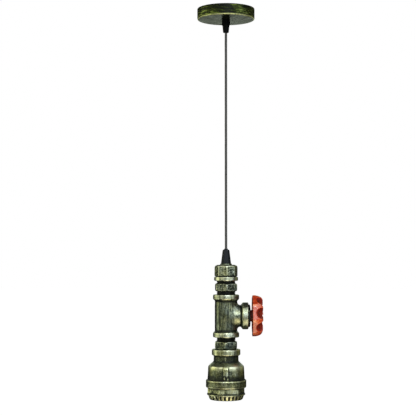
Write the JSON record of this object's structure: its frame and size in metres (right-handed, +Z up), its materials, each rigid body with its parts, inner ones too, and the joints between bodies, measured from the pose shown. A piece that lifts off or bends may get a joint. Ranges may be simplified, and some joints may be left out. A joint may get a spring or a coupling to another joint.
{
  "type": "pendant light",
  "caption": "Industrial pipe-fitting pendant light: round ceiling canopy, straight cord, tee with red handwheel switch on its branch, reducing socket and screw lampholder facing down.",
  "frame": {"origin": "centre of the canopy in the ceiling plane, midway between the bracket's two screw slots", "axes": "+Z up into the ceiling, the lamp hangs along -Z, +X along the tee's branch towards the handwheel"},
  "size_m": [0.1142, 0.1, 0.6788],
  "materials": {
    "antique_iron": "satin",
    "antique_sheet": "satin",
    "thread_dark": "satin",
    "black_plastic": "satin",
    "cord_cover": "matte",
    "red_paint": "gloss",
    "zinc_steel": "satin",
    "brass_part": "satin",
    "white_porcelain": "satin",
    "dark_moulding": "satin",
    "clear_nylon": "satin",
    "sheath_black": "satin",
    "core_brown": "satin",
    "core_blue": "satin",
    "core_green_yellow": "satin"
  },
  "bodies": {
    "canopy": {"canopy_shell": "antique_sheet", "mounting_bracket": "zinc_steel", "canopy_nipple": "zinc_steel", "canopy_locknuts": "zinc_steel", "canopy_cord_grip": "black_plastic", "canopy_grip_sleeve": "clear_nylon", "cord_upper_end": "sheath_black", "terminal_block": "clear_nylon", "terminal_block_screws": "brass_part", "canopy_lead_live": "core_brown", "canopy_lead_neutral": "core_blue", "canopy_lead_earth": "core_green_yellow", "bracket_earth_screw": "brass_part", "bracket_earth_lug": "zinc_steel", "bracket_earth_lead": "core_green_yellow"},
    "pendant": {"pendant_cord": "cord_cover", "lamp_cord_grip": "black_plastic", "lamp_grip_sleeve": "clear_nylon", "grip_seat_washer": "antique_iron", "lamp_nipple": "zinc_steel", "lamp_locknut": "zinc_steel", "pipe_cap": "antique_iron", "upper_hex_nipple": "antique_iron", "pipe_tee": "antique_iron", "branch_plug": "thread_dark", "switch_body": "dark_moulding", "switch_terminal_screws": "brass_part", "switch_locknut": "zinc_steel", "lower_hex_nipple": "antique_iron", "reducing_socket": "antique_iron", "holder_collar": "antique_iron", "shade_ring": "antique_iron", "lampholder_body": "dark_moulding", "lampholder_core": "white_porcelain", "screw_shell": "brass_part", "centre_contact": "brass_part", "lampholder_screws": "brass_part", "cord_lower_end": "sheath_black", "lead_live": "core_brown", "lead_switched": "core_brown", "lead_neutral": "core_blue", "lead_earth": "core_green_yellow", "earth_lug": "zinc_steel", "earth_screw": "brass_part"},
    "valve_wheel": {"handwheel": "red_paint", "wheel_washer": "zinc_steel", "wheel_screw": "zinc_steel", "switch_spindle": "zinc_steel"}
  },
  "joints": [
    {"name": "lamp_swing", "type": "hinge", "parent": "canopy", "child": "pendant", "pos_m": [0, 0, -0.0442], "axis": [0, 1, 0], "range_deg": [-15, 15]},
    {"name": "wheel_turn", "type": "hinge", "parent": "pendant", "child": "valve_wheel", "pos_m": [0.0454, 0, -0.5351], "axis": [1, 0, 0], "continuous": true}
  ]
}
